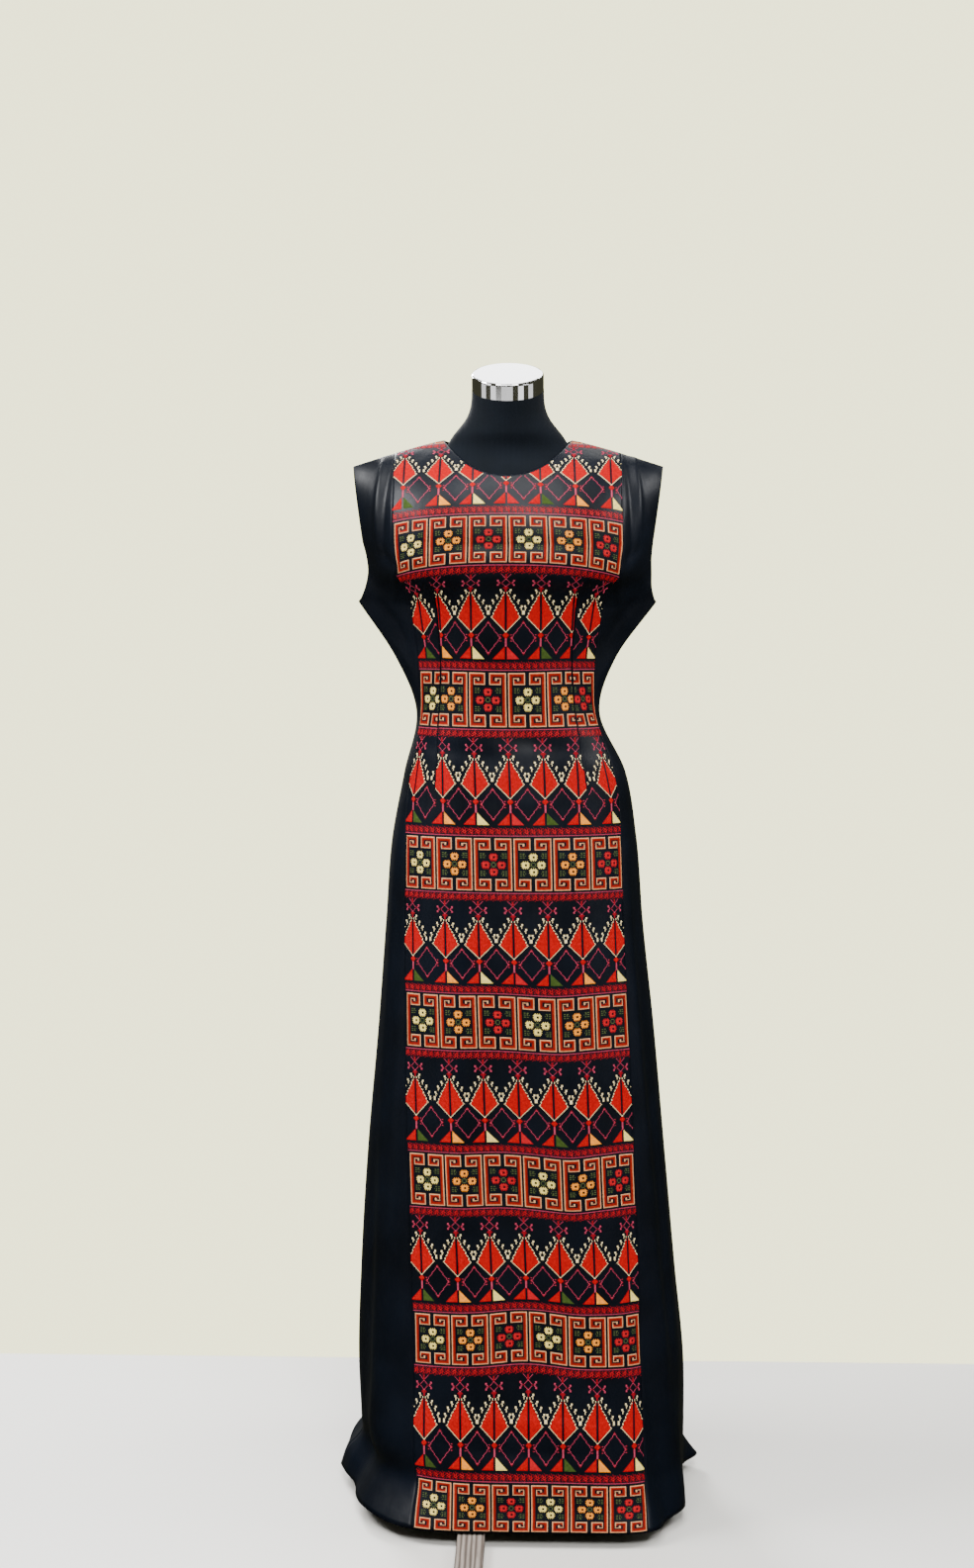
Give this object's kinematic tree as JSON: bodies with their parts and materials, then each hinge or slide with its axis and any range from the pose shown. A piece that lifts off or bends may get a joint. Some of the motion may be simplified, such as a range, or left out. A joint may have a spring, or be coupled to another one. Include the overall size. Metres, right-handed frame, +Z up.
{
  "type": "embroidered thobe dress on a dress form",
  "caption": "Long sleeveless black satin thobe with a cross-stitched front panel, on a limbless jersey dress form with a metal neck cap, a pole and a footed wooden base.",
  "frame": {"origin": "on the floor, at the axis of the stand's pole, on the underside of the hub's boss", "axes": "+Z up along the pole, -Y out of the front of the dress, +X to the right as one looks at the front"},
  "size_m": [0.5286, 0.6077, 1.6303],
  "materials": {
    "black_satin": "soft sheen",
    "stitched_satin": "cross-stitched cotton on black satin",
    "black_jersey": "matt fine knit",
    "bright_chrome": "polished",
    "stand_steel": "satin",
    "weathered_timber": "unvarnished, weathered grey"
  },
  "bodies": {
    "root": {"front_embroidered_panel": "stitched_satin", "front_side_panel_left": "black_satin", "front_side_panel_right": "black_satin", "back_panel": "black_satin", "form_torso": "black_jersey", "neck_cap": "bright_chrome", "form_collar": "stand_steel", "stand_pole": "stand_steel", "stand_hub": "weathered_timber", "stand_foot_front": "weathered_timber", "stand_foot_right": "weathered_timber", "stand_foot_left": "weathered_timber"}
  },
  "joints": []
}
